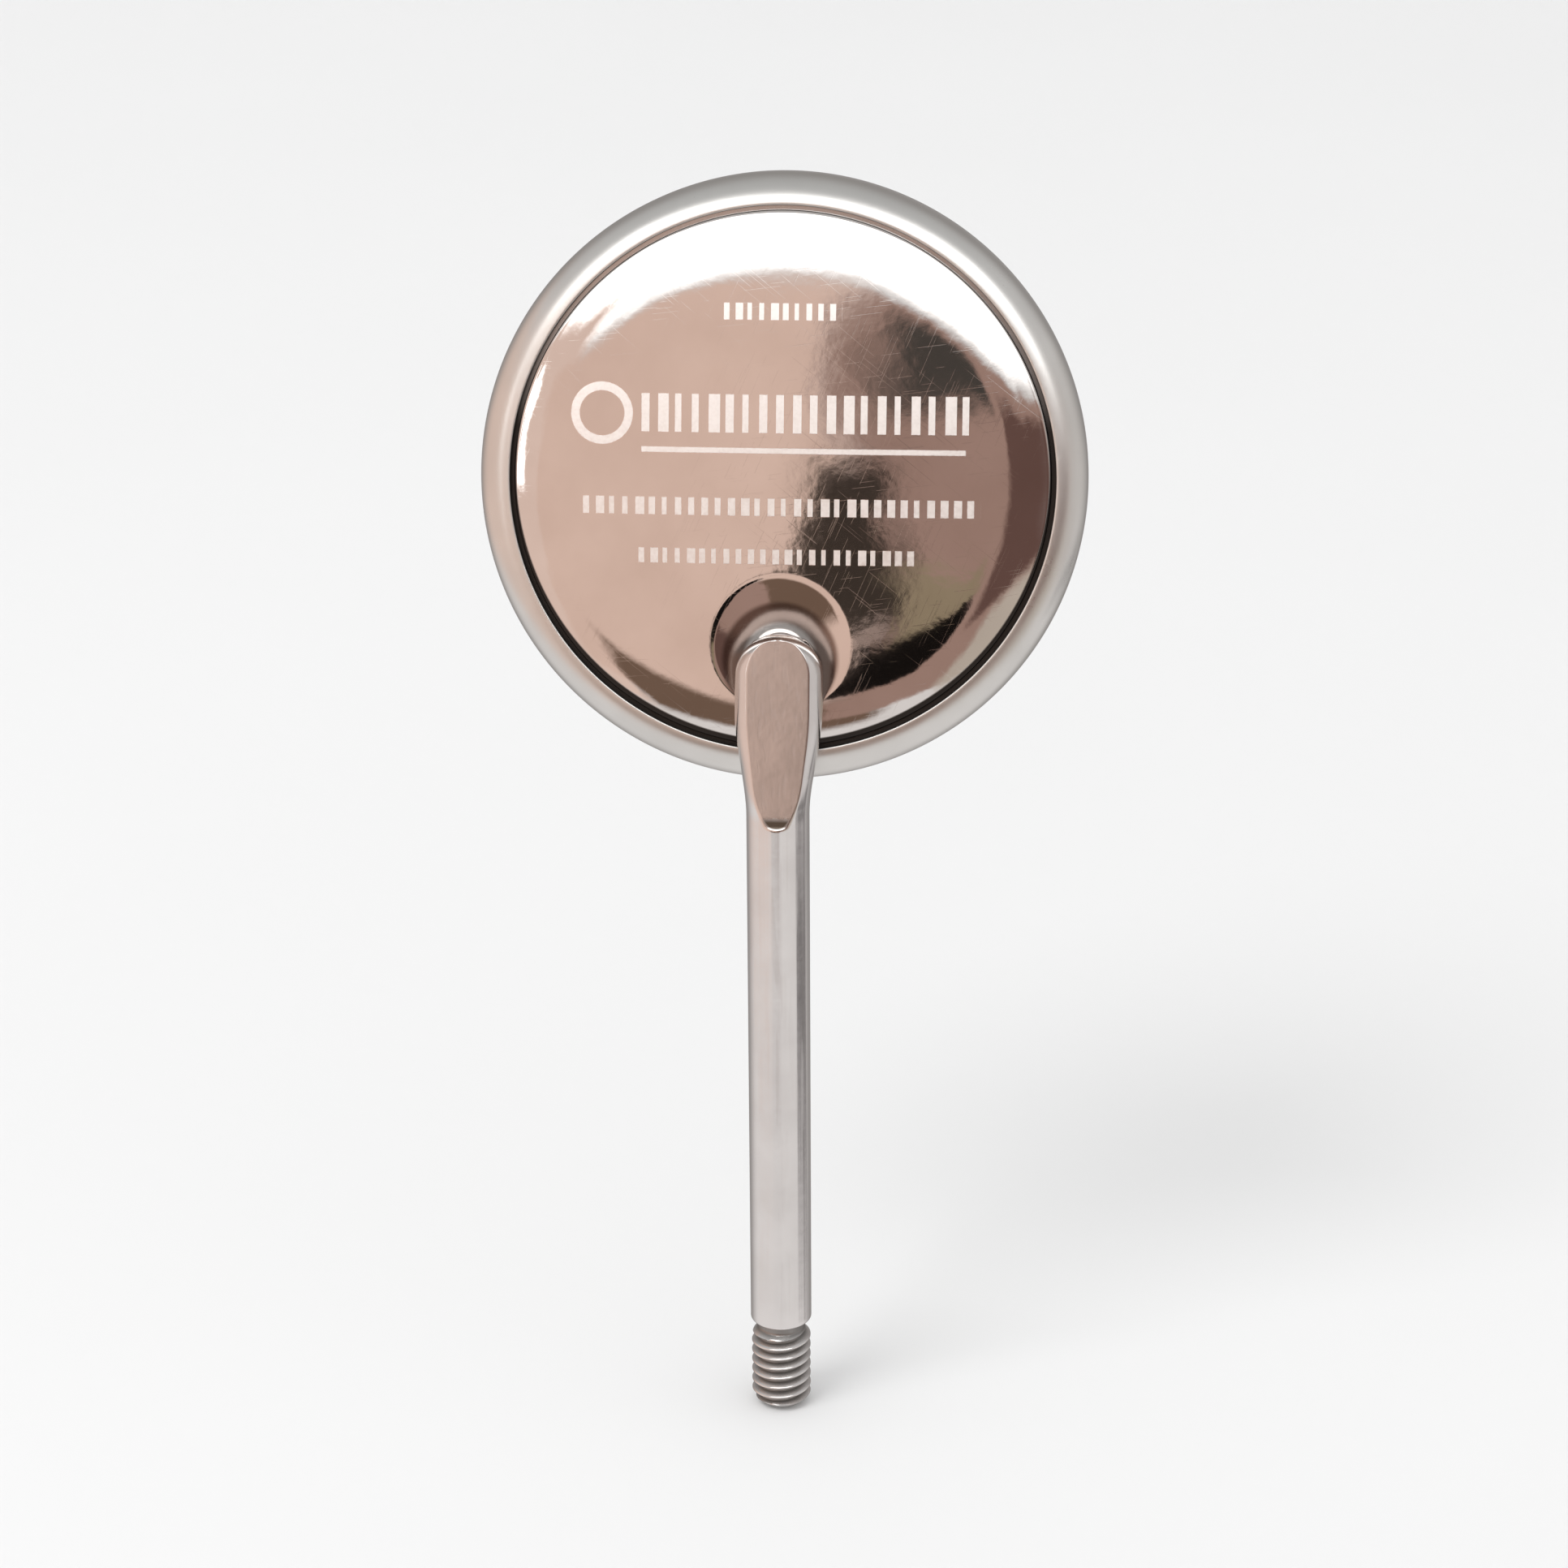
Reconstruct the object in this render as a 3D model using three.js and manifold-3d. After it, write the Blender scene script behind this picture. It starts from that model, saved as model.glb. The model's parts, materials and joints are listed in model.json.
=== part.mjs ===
// Dental mouth mirror without its handle: a round mirror head on a short screw-in stem.
// Millimetres, +Z up. The stem's axis is the Z axis and its threaded end face is at z = 0.
// The back of the head looks towards -Y, the mirror looks towards +Y and a little down.
// Along the head's own axis, depth is 0 at the front of the rim and grows towards the back.

import * as THREE from "three";
import { ParametricGeometry } from "three/addons/geometries/ParametricGeometry.js";
import { mergeVertices } from "three/addons/utils/BufferGeometryUtils.js";
import Module from "manifold-3d";

// Head: outer size and the angle between its plane and the stem
const RIM_RADIUS = 12;
const HEAD_TILT = THREE.MathUtils.degToRad(14);
const FIT_GAP = 0.02; // between pieces that touch on the real object

// Rim ring: one rolled strip that holds everything together
const RING_SHEET = 0.3;
const WINDOW_RADIUS = 10.85; // edge of the visible mirror
const FRONT_CORNER_RADIUS = 0.4;
const WALL_TOP = 1.4; // depth at which the straight side wall ends
const SEAM_RADIUS = 10.72; // where the rolled edge ends on the back
const SEAM_DEPTH = 2.62;

// Back cup: shallow polished dome with a pressed seat for the stem
const CUP_SHEET = 0.3;
const DOME_EDGE_RADIUS = 10.55; // leaves an open seam beside the rolled edge
const DOME_CROWN = 3.3; // depth of the dome's highest point
const DOME_CENTRE_CURVE = 140; // radius of the flat middle
const DOME_EDGE_CURVE = 7.8; // radius of the rounded outer zone
const DOME_BLEND_RADIUS = 8.5; // where the two meet
const SKIRT_RADIUS = 11.35;
const SEAT_CENTRE = -7.05; // up the head from its middle
const SEAT_FLOOR_RADIUS = 1.2;
const SEAT_MOUTH_RADIUS = 2.6;
const SEAT_FLOOR = 2.8;
const SEAT_MOUTH = 3.1;

// Mirror stack, front to back
const GLASS_RADIUS = 11.4;
const GLASS_THICKNESS = 1.2;
const COATING_THICKNESS = 0.03;
const BEDDING_RADIUS = 11;
const BEDDING_THICKNESS = 0.41;
const SKIRT_CLEARANCE = 0.07; // between the cup's edge and the glass
const WELD_RADIUS = 1;

// Stem
const STEM_RADIUS = 1.25;
const BEND_HEIGHT = 27.5; // where the stem's two straight axes would cross
const BEND_RADIUS = 4;
const BEND_BELOW_HEAD = 12.1; // the same crossing, down the head from its middle
const FLAT_AXIS_DEPTH = 3.72; // depth of the stem's axis behind the rim's front
const FLAT_END = -6; // top of the flattened end, up the head from its middle
const FLAT_HALF_WIDTH = 1.725;
const FLAT_BACK = 0.86; // stamped facet, from the axis
const FLAT_FRONT = 0.72; // seat side, from the axis
const FLAT_WIDENS = 7.15; // from the end: round section below, wider above
const FLAT_FULL = 3; // from the end: full width above
const SEAT_CUT = 5.9; // from the end: length of the seat side's flat
const SEAT_RAMP = THREE.MathUtils.degToRad(50); // lean of the slope where that flat ends
const FACET_CUT = 7.2; // from the end: length of the facet
const FACET_RAMP = THREE.MathUtils.degToRad(63); // lean of the slope where it ends
const END_ROUND_WIDE = 1.5;
const END_ROUND_THICK = 0.25;

// Thread, M2.5 x 0.45, right-hand
const PITCH = 0.45;
const THREAD_MAJOR_RADIUS = 1.22;
const THREAD_MINOR_RADIUS = 0.944;
const THREAD_LENGTH = 3.4;
const TIP_RADIUS = 0.9;
const GROOVE_RADIUS = 0.93;
const SHOULDER_HEIGHT = 3.8;
const SHOULDER_ROUND = 0.15;

// Facets of the curved surfaces
const HEAD_SEGMENTS = 72;
const STEM_SEGMENTS = 24;

const wasm = await Module();
wasm.setup();

const steel = { color: 0xc9c6c4, metalness: 1, roughness: 0.22 };
const polishedSteel = { color: 0xd3cbc6, metalness: 1, roughness: 0.08 };
const silver = { color: 0xf1f1ef, metalness: 1, roughness: 0.02 };
const glass = { color: 0xb9cfc8, metalness: 0, roughness: 0.05 };
const sealant = { color: 0x3b3b3d, metalness: 0, roughness: 0.7 };
const cement = { color: 0xd9d2c2, metalness: 0, roughness: 0.85 };
const weldMetal = { color: 0x8d8580, metalness: 1, roughness: 0.45 };

function piece(name, geometry, finish) {
  const mesh = new THREE.Mesh(geometry, new THREE.MeshStandardMaterial(finish));
  mesh.name = name;
  return mesh;
}

// Points along a circular or elliptical arc, angles in degrees
function arc(centreX, centreY, radiusX, radiusY, from, to, steps) {
  return Array.from({ length: steps + 1 }, (_, i) => {
    const angle = THREE.MathUtils.degToRad(from + ((to - from) * i) / steps);
    return new THREE.Vector2(
      centreX + radiusX * Math.cos(angle),
      centreY + radiusY * Math.sin(angle),
    );
  });
}

const at = (radius, depth) => new THREE.Vector2(radius, depth);

// A profile of (radius, depth) points turned around the head's own axis, local +Z
function turned(points, segments = HEAD_SEGMENTS) {
  return new THREE.LatheGeometry(points, segments).rotateX(Math.PI / 2);
}

function disc(radius, front, back, segments) {
  return turned(
    [at(0, front), at(radius, front), at(radius, back), at(0, back)],
    segments,
  );
}

function toSolid(geometry) {
  const bare = geometry.clone();
  bare.deleteAttribute("normal");
  bare.deleteAttribute("uv");
  const merged = mergeVertices(bare, 1e-4);
  return new wasm.Manifold(
    new wasm.Mesh({
      numProp: 3,
      vertProperties: merged.getAttribute("position").array,
      triVerts: new Uint32Array(merged.index.array),
    }),
  );
}

function toGeometry(solid) {
  const mesh = solid.getMesh();
  const geometry = new THREE.BufferGeometry();
  const positions = new THREE.BufferAttribute(mesh.vertProperties, 3);
  geometry.setAttribute("position", positions);
  geometry.setIndex(new THREE.BufferAttribute(mesh.triVerts, 1));
  geometry.computeVertexNormals();
  return geometry;
}

function rimRing() {
  const frontCorner = RIM_RADIUS - FRONT_CORNER_RADIUS;
  const wallInside = RIM_RADIUS - RING_SHEET;
  const shoulderWide = RIM_RADIUS - SEAM_RADIUS;
  const shoulderHigh = SEAM_DEPTH - WALL_TOP;
  const outside = [
    at(WINDOW_RADIUS, 0),
    ...arc(
      frontCorner,
      FRONT_CORNER_RADIUS,
      FRONT_CORNER_RADIUS,
      FRONT_CORNER_RADIUS,
      -90,
      0,
      5,
    ),
    ...arc(SEAM_RADIUS, WALL_TOP, shoulderWide, shoulderHigh, 0, 90, 9),
  ];
  const inside = [
    ...arc(
      SEAM_RADIUS,
      WALL_TOP,
      shoulderWide - RING_SHEET,
      shoulderHigh - RING_SHEET,
      90,
      0,
      7,
    ),
    at(wallInside, RING_SHEET),
    at(WINDOW_RADIUS, RING_SHEET),
  ];
  return turned([...outside, ...inside, outside[0]]);
}

// The dome's outer surface from its crown to its edge, lowered by drop
function domeArc(edgeRadius, drop) {
  const centreDepth = DOME_CROWN - DOME_CENTRE_CURVE;
  const blend = Math.asin(DOME_BLEND_RADIUS / DOME_CENTRE_CURVE);
  const edgeCentre = at(
    DOME_BLEND_RADIUS - DOME_EDGE_CURVE * Math.sin(blend),
    centreDepth + (DOME_CENTRE_CURVE - DOME_EDGE_CURVE) * Math.cos(blend),
  );
  const rise = THREE.MathUtils.radToDeg(blend);
  const curve = DOME_EDGE_CURVE - drop;
  const fall = THREE.MathUtils.radToDeg(
    Math.asin((edgeRadius - edgeCentre.x) / curve),
  );
  const middle = DOME_CENTRE_CURVE - drop;
  return [
    at(0, DOME_CROWN - drop),
    ...arc(0, centreDepth, middle, middle, 90 - rise / 2, 90 - rise, 1),
    ...arc(edgeCentre.x, edgeCentre.y, curve, curve, 90 - rise, 90 - fall, 6).slice(1),
  ];
}

function backCup() {
  const bedding = beddingBack() + FIT_GAP;
  const skirtEnd = glassBack() + SKIRT_CLEARANCE;
  const skirtInside = SKIRT_RADIUS - CUP_SHEET + FIT_GAP;
  // Under the rolled edge the cup follows the inside of the ring
  const shoulderWide = RIM_RADIUS - SEAM_RADIUS - RING_SHEET - FIT_GAP;
  const shoulderHigh = SEAM_DEPTH - WALL_TOP - RING_SHEET - FIT_GAP;
  const shoulderEnd = THREE.MathUtils.radToDeg(
    Math.acos((SKIRT_RADIUS - SEAM_RADIUS) / shoulderWide),
  );
  const outside = [
    ...domeArc(DOME_EDGE_RADIUS, 0),
    at(SEAM_RADIUS - 2 * FIT_GAP, WALL_TOP + shoulderHigh),
    ...arc(SEAM_RADIUS, WALL_TOP, shoulderWide, shoulderHigh, 90, shoulderEnd, 3),
    at(SKIRT_RADIUS, skirtEnd),
  ];
  const inside = [
    at(skirtInside, skirtEnd),
    at(skirtInside, bedding),
    at(DOME_EDGE_RADIUS - CUP_SHEET, bedding),
    ...domeArc(DOME_EDGE_RADIUS - CUP_SHEET, CUP_SHEET).reverse(),
  ];
  const sheet = toSolid(turned([...outside, ...inside].reverse()));
  const filled = toSolid(turned([...outside, at(0, skirtEnd)].reverse()));

  // The stem's seat: a round recess pressed into the sheet
  const seat = (floorRadius, floor, mouthRadius, mouth) =>
    toSolid(
      turned(
        [
          at(0, floor),
          at(floorRadius, floor),
          at(mouthRadius, mouth),
          at(mouthRadius, DOME_CROWN + 1),
          at(0, DOME_CROWN + 1),
        ],
        HEAD_SEGMENTS / 2,
      ).translate(0, SEAT_CENTRE, 0),
    );
  const recess = seat(SEAT_FLOOR_RADIUS, SEAT_FLOOR, SEAT_MOUTH_RADIUS, SEAT_MOUTH);
  const bulge = seat(
    SEAT_FLOOR_RADIUS + CUP_SHEET / 2,
    SEAT_FLOOR - CUP_SHEET,
    SEAT_MOUTH_RADIUS + CUP_SHEET / 2,
    SEAT_MOUTH - CUP_SHEET,
  );
  return toGeometry(sheet.add(bulge.intersect(filled)).subtract(recess));
}

const coatingFront = () => RING_SHEET + FIT_GAP;
const glassFront = () => coatingFront() + COATING_THICKNESS + FIT_GAP / 2;
const glassBack = () => glassFront() + GLASS_THICKNESS;
const beddingFront = () => glassBack() + FIT_GAP;
const beddingBack = () => beddingFront() + BEDDING_THICKNESS;

function edgeSeal() {
  const inner = GLASS_RADIUS + FIT_GAP;
  const outer = RIM_RADIUS - RING_SHEET - 2 * FIT_GAP;
  const front = coatingFront();
  const back = glassBack();
  return turned([
    at(inner, front),
    at(outer, front),
    at(outer, back),
    at(inner, back),
    at(inner, front),
  ]);
}

function weldJoint() {
  const front = SEAT_FLOOR + FIT_GAP;
  const back = FLAT_AXIS_DEPTH - FLAT_FRONT - FIT_GAP;
  return turned(
    [
      at(0, front),
      at(WELD_RADIUS, front),
      at(WELD_RADIUS + (back - front) / 2, (front + back) / 2),
      at(WELD_RADIUS, back),
      at(0, back),
    ],
    STEM_SEGMENTS,
  ).translate(0, SEAT_CENTRE, 0);
}

// Stem axis: the place and lean of the section at a distance along it from the end face
const bendTangent = BEND_RADIUS * Math.tan(HEAD_TILT / 2);
const bendStart = BEND_HEIGHT - bendTangent;
const bendEnd = bendStart + BEND_RADIUS * HEAD_TILT;
const stemEnd = bendEnd + BEND_BELOW_HEAD - bendTangent + FLAT_END;

function stemAxis(distance) {
  const lean = THREE.MathUtils.clamp((distance - bendStart) / BEND_RADIUS, 0, HEAD_TILT);
  const beyond = Math.max(distance - bendEnd, 0);
  const before = Math.min(distance, bendStart);
  return {
    lean,
    y: BEND_RADIUS * (1 - Math.cos(lean)) + beyond * Math.sin(lean),
    z: before + BEND_RADIUS * Math.sin(lean) + beyond * Math.cos(lean),
  };
}

// A ring of the stem's skin: an ellipse across the axis
function stemSection(distance, halfWidth, halfThick) {
  const { lean, y, z } = stemAxis(distance);
  return (angle, target) => {
    const across = halfThick * Math.sin(angle);
    target.set(
      halfWidth * Math.cos(angle),
      y + across * Math.cos(lean),
      z - across * Math.sin(lean),
    );
  };
}

// One row of the thread: a helix at a fixed place on the thread's profile
function threadRow(start, radius) {
  return (angle, target) => {
    const rise = start + (PITCH * angle) / (2 * Math.PI);
    const z = THREE.MathUtils.clamp(rise, 0, THREAD_LENGTH);
    const chamfer = Math.min(TIP_RADIUS + z, GROOVE_RADIUS + (THREAD_LENGTH - z));
    const r = Math.min(radius, chamfer);
    target.set(r * Math.cos(angle), r * Math.sin(angle), z);
  };
}

function threadRows() {
  const profile = [
    [0, THREAD_MINOR_RADIUS],
    [1 / 4, THREAD_MINOR_RADIUS],
    [9 / 16, THREAD_MAJOR_RADIUS],
    [11 / 16, THREAD_MAJOR_RADIUS],
  ];
  const turns = Math.ceil(THREAD_LENGTH / PITCH) + 1;
  const rows = [];
  for (let turn = 0; turn < turns; turn++) {
    for (const [share, radius] of profile) {
      rows.push(threadRow((turn - 1 + share) * PITCH, radius));
    }
  }
  rows.push(threadRow((turns - 1) * PITCH, THREAD_MINOR_RADIUS));
  return rows;
}

// The flattened end: the bar widens, then its outline rounds off at the end
function flattenedRows() {
  const rows = [];
  const steps = 14;
  const roundSteps = 8;
  for (let i = 0; i <= steps; i++) {
    const left = THREE.MathUtils.lerp(FLAT_WIDENS, END_ROUND_WIDE, i / steps);
    const share = THREE.MathUtils.smoothstep(-left, -FLAT_WIDENS, -FLAT_FULL);
    const halfWidth = THREE.MathUtils.lerp(STEM_RADIUS, FLAT_HALF_WIDTH, share);
    rows.push(stemSection(stemEnd - left, halfWidth, STEM_RADIUS));
  }
  for (let i = 1; i <= roundSteps; i++) {
    const turn = (i / roundSteps) * (Math.PI / 2);
    const left = END_ROUND_WIDE * (1 - Math.sin(turn));
    const thin = Math.max(1 - left / END_ROUND_THICK, 0);
    const halfWidth = FLAT_HALF_WIDTH * Math.cos(turn);
    const halfThick = STEM_RADIUS * Math.sqrt(1 - thin * thin);
    rows.push(stemSection(stemEnd - left, halfWidth, halfThick));
  }
  return rows;
}

// A flat cut along the stem's flattened end, offset from its axis to the back (+1) or front (-1).
// Its lower end face leans by ramp.
function flatCut(side, offset, length, ramp) {
  const width = 8;
  const thickness = 3;
  const overrun = 1;
  const cutter = new THREE.BoxGeometry(width, length + overrun, thickness);
  cutter.translate(0, (overrun - length) / 2, side * (offset + thickness / 2));
  const positions = cutter.getAttribute("position");
  for (let i = 0; i < positions.count; i++) {
    const outwards = side * positions.getZ(i) - offset;
    if (positions.getY(i) < 0) positions.setY(i, -length - outwards * Math.tan(ramp));
  }
  const { lean, y, z } = stemAxis(stemEnd);
  cutter.rotateX(Math.PI / 2 - lean);
  cutter.translate(0, y, z);
  return toSolid(cutter);
}

function stem() {
  const shoulder = arc(
    STEM_RADIUS - SHOULDER_ROUND,
    SHOULDER_HEIGHT + SHOULDER_ROUND,
    SHOULDER_ROUND,
    SHOULDER_ROUND,
    -90,
    0,
    3,
  );
  const rows = [
    stemSection(0, 0, 0),
    ...threadRows(),
    stemSection(SHOULDER_HEIGHT, GROOVE_RADIUS, GROOVE_RADIUS),
    ...shoulder.map(({ x, y }) => stemSection(y, x, x)),
    ...flattenedRows(),
  ];
  const skin = new ParametricGeometry(
    (u, v, target) => rows[Math.round(v * (rows.length - 1))](u * 2 * Math.PI, target),
    STEM_SEGMENTS,
    rows.length - 1,
  );
  const facet = flatCut(1, FLAT_BACK, FACET_CUT, FACET_RAMP);
  const seat = flatCut(-1, FLAT_FRONT, SEAT_CUT, SEAT_RAMP);
  return toGeometry(toSolid(skin).subtract(facet).subtract(seat));
}

const head = new THREE.Group();
head.rotation.x = Math.PI / 2 - HEAD_TILT;
head.position.set(
  0,
  BEND_BELOW_HEAD * Math.sin(HEAD_TILT) + FLAT_AXIS_DEPTH * Math.cos(HEAD_TILT),
  BEND_HEIGHT + BEND_BELOW_HEAD * Math.cos(HEAD_TILT) - FLAT_AXIS_DEPTH * Math.sin(HEAD_TILT),
);
head.add(
  piece("rim_ring", rimRing(), steel),
  piece("back_cup", backCup(), polishedSteel),
  piece(
    "mirror_coating",
    disc(GLASS_RADIUS, coatingFront(), coatingFront() + COATING_THICKNESS),
    silver,
  ),
  piece("glass_disc", disc(GLASS_RADIUS, glassFront(), glassBack()), glass),
  piece("edge_seal", edgeSeal(), sealant),
  piece("glass_bedding", disc(BEDDING_RADIUS, beddingFront(), beddingBack()), cement),
  piece("weld_joint", weldJoint(), weldMetal),
);

const mouthMirror = new THREE.Group();
mouthMirror.add(head, piece("stem", stem(), steel));

export default mouthMirror;
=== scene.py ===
"""Looks of the dental mouth mirror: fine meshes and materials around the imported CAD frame.

Lengths in this file are millimetres unless a comment says otherwise; MM turns them into Blender's metres.
The head's own frame has x across, u up the head and w from the rim's front towards the back.
"""
import json
import math

import bmesh
import bpy
import numpy as np
from mathutils import Matrix, Vector


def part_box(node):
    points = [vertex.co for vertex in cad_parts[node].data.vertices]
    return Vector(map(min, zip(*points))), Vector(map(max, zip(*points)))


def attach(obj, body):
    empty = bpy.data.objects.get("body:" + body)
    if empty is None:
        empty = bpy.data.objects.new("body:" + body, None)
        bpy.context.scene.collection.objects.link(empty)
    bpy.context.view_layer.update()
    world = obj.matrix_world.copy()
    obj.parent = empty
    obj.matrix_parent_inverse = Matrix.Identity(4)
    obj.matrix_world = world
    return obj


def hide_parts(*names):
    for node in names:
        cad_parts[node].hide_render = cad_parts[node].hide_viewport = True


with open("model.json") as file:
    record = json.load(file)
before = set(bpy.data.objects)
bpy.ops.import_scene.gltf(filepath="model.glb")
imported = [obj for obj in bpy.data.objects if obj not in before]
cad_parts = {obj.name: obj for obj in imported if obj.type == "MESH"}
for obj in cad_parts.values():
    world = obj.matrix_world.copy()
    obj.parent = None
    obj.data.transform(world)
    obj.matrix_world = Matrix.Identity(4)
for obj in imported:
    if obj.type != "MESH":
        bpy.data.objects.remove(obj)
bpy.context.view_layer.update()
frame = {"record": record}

MM = 0.001

# ---------------------------------------------------------------- places taken from the frame

mounts = {m["name"]: m for m in frame["record"]["mounts"]}
RIM_FACE = mounts["rim_face"]
HEAD_CENTRE = Vector((0, *RIM_FACE["pos_m"][1:]))
HEAD_BACK = -Vector(RIM_FACE["axis"]).normalized()
HEAD_UP = HEAD_BACK.cross(Vector((1, 0, 0))).normalized()
TILT = math.atan2(HEAD_UP.y, HEAD_UP.z)


def box_mm(node):
    """A node's lowest and highest corner, in millimetres."""
    low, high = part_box(node)
    return np.array(low) / MM, np.array(high) / MM


rim_low, rim_high = box_mm("rim_ring")
RIM_RADIUS = (rim_high[0] - rim_low[0]) / 2
glass_low, glass_high = box_mm("glass_disc")
GLASS_RADIUS = (glass_high[0] - glass_low[0]) / 2
THREAD_LENGTH = mounts["stem_thread"]["dims"]["length_mm"]
THREAD_MAJOR_RADIUS = mounts["stem_thread"]["dims"]["r_mm"]

# ---------------------------------------------------------------- driving dimensions, as in the CAD

SHEET = 0.3
FIT_GAP = 0.02
WINDOW_RADIUS = 10.85
LIP_ROUND = 0.07
REAR_EDGE_ROUND = 0.06
FRONT_CORNER = 0.4
WALL_TOP = 1.4
SEAM_RADIUS = 10.72
SEAM_DEPTH = 2.62
DOME_EDGE = 10.55
DOME_EDGE_ROUND = 0.14
DOME_CROWN = 3.3
DOME_CENTRE_CURVE = 140.0
DOME_EDGE_CURVE = 7.8
DOME_BLEND = 8.5
DOME_BLEND_SPREAD = 1.2
SKIRT_RADIUS = 11.35
SKIRT_END = 1.62
LEDGE_INSIDE = 2.03
SEAT_CENTRE = -7.05
SEAT_FLOOR = 2.8
SEAT_FLOOR_RADIUS = 1.2
SEAT_MOUTH_RADIUS = 2.6
SEAT_SLOPE = 0.3 / (SEAT_MOUTH_RADIUS - SEAT_FLOOR_RADIUS)
SEAT_EDGE_ROUND = 0.04
COATING_FRONT, COATING_BACK = 0.32, 0.35
GLASS_FRONT, GLASS_BACK = 0.36, 1.56
BEDDING_FRONT, BEDDING_BACK = 1.58, 1.99
BEDDING_RADIUS = 11.0
WELD_FRONT, WELD_BACK = 2.82, 2.98
WELD_RADIUS = 1.06

STEM_RADIUS = 1.25
BEND_HEIGHT = 27.5
BEND_RADIUS = 4.0
BEND_BELOW_HEAD = 12.1
FLAT_AXIS_DEPTH = 3.72
FLAT_END = -6.0
FLAT_HALF_WIDTH = 1.725
FLAT_BACK = 0.86
FLAT_FRONT = 0.72
FLAT_WIDENS = 7.15
FLAT_FULL = 3.0
SEAT_CUT = 5.9
SEAT_RAMP_SLOPE = 1 / math.tan(math.radians(50))
FACET_CUT = 7.2
FACET_RAMP_SLOPE = 1 / math.tan(math.radians(63))
END_ROUND_WIDE = 1.5
END_ROUND_THICK = 0.25
PITCH = 0.45
THREAD_MINOR_RADIUS = 0.944
TIP_RADIUS = 0.9
GROOVE_RADIUS = 0.93
SHOULDER_HEIGHT = 3.8
SHOULDER_ROUND = 0.15

HEAD_SEGMENTS = 288


# ---------------------------------------------------------------- mesh helpers

def head_point(x, u, w):
    """A point of the head's own frame, in Blender's metres."""
    return HEAD_CENTRE + MM * (Vector((x, 0, 0)) + HEAD_UP * u + HEAD_BACK * w)


def make_piece(name, verts, faces, sharp_degrees=40):
    mesh = bpy.data.meshes.new(name)
    mesh.from_pydata([tuple(v) for v in verts], [], faces)
    mesh.validate()
    mesh.shade_smooth()
    mesh.set_sharp_from_angle(angle=math.radians(sharp_degrees))
    piece = bpy.data.objects.new(name, mesh)
    bpy.context.scene.collection.objects.link(piece)
    return piece


def ring_faces(rows, columns, closed_rows=False):
    """Quads between rings of points, each ring closing on itself."""
    faces = []
    for i in range(rows if closed_rows else rows - 1):
        a, b = i * columns, ((i + 1) % rows) * columns
        for j in range(columns):
            k = (j + 1) % columns
            faces.append((a + j, a + k, b + k, b + j))
    return faces


def arc(centre, radii, start, end, steps):
    """Points along an elliptical arc, angles in degrees."""
    angles = np.radians(np.linspace(start, end, steps + 1))
    return [(centre[0] + radii[0] * math.cos(a), centre[1] + radii[1] * math.sin(a)) for a in angles]


def rounded(corners, steps=5):
    """A closed outline whose corners, given as (r, w, rounding radius), become small arcs."""
    points = []
    count = len(corners)
    for i, (r, w, rounding) in enumerate(corners):
        here = np.array((r, w))
        if not rounding:
            points.append((r, w))
            continue
        before = np.array(corners[i - 1][:2]) - here
        after = np.array(corners[(i + 1) % count][:2]) - here
        before_unit = before / np.linalg.norm(before)
        after_unit = after / np.linalg.norm(after)
        half = math.acos(np.clip(before_unit @ after_unit, -1, 1)) / 2
        reach = rounding / math.tan(half)
        reach = min(reach, 0.49 * np.linalg.norm(before), 0.49 * np.linalg.norm(after))
        radius = reach * math.tan(half)
        centre = here + (before_unit + after_unit) / np.linalg.norm(before_unit + after_unit) * (
            radius / math.sin(half)
        )
        first = here + before_unit * reach - centre
        last = here + after_unit * reach - centre
        start = math.atan2(first[1], first[0])
        turn = math.atan2(last[1], last[0]) - start
        turn = (turn + math.pi) % (2 * math.pi) - math.pi
        for k in range(steps + 1):
            a = start + turn * k / steps
            points.append((centre[0] + radius * math.cos(a), centre[1] + radius * math.sin(a)))
    return points


def lathe(name, outline, centre_u=0.0, segments=HEAD_SEGMENTS, sharp_degrees=40):
    """A closed outline of (r, w) turned around the head's axis, or around a parallel one at centre_u."""
    verts = []
    for r, w in outline:
        for a in np.linspace(0, 2 * math.pi, segments, endpoint=False):
            verts.append(head_point(r * math.cos(a), r * math.sin(a) + centre_u, w))
    piece = make_piece(name, verts, ring_faces(len(outline), segments, closed_rows=True), sharp_degrees)
    clean(piece)
    return piece


def clean(piece):
    """Merges the points that meet on the axis and turns every face outwards."""
    bm = bmesh.new()
    bm.from_mesh(piece.data)
    bmesh.ops.remove_doubles(bm, verts=bm.verts, dist=1e-7)
    bmesh.ops.dissolve_degenerate(bm, edges=bm.edges, dist=1e-8)
    bmesh.ops.recalc_face_normals(bm, faces=bm.faces)
    bm.to_mesh(piece.data)
    bm.free()


def soft_min(a, b, blend):
    """The smaller of two heights, with a rounded changeover."""
    h = max(blend - abs(a - b), 0.0) / blend
    return min(a, b) - h * h * blend / 4


def soft_max(a, b, blend):
    return -soft_min(-a, -b, blend)


def smoothstep(x, low, high):
    t = min(max((x - low) / (high - low), 0.0), 1.0)
    return t * t * (3 - 2 * t)


# ---------------------------------------------------------------- head pieces

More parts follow.
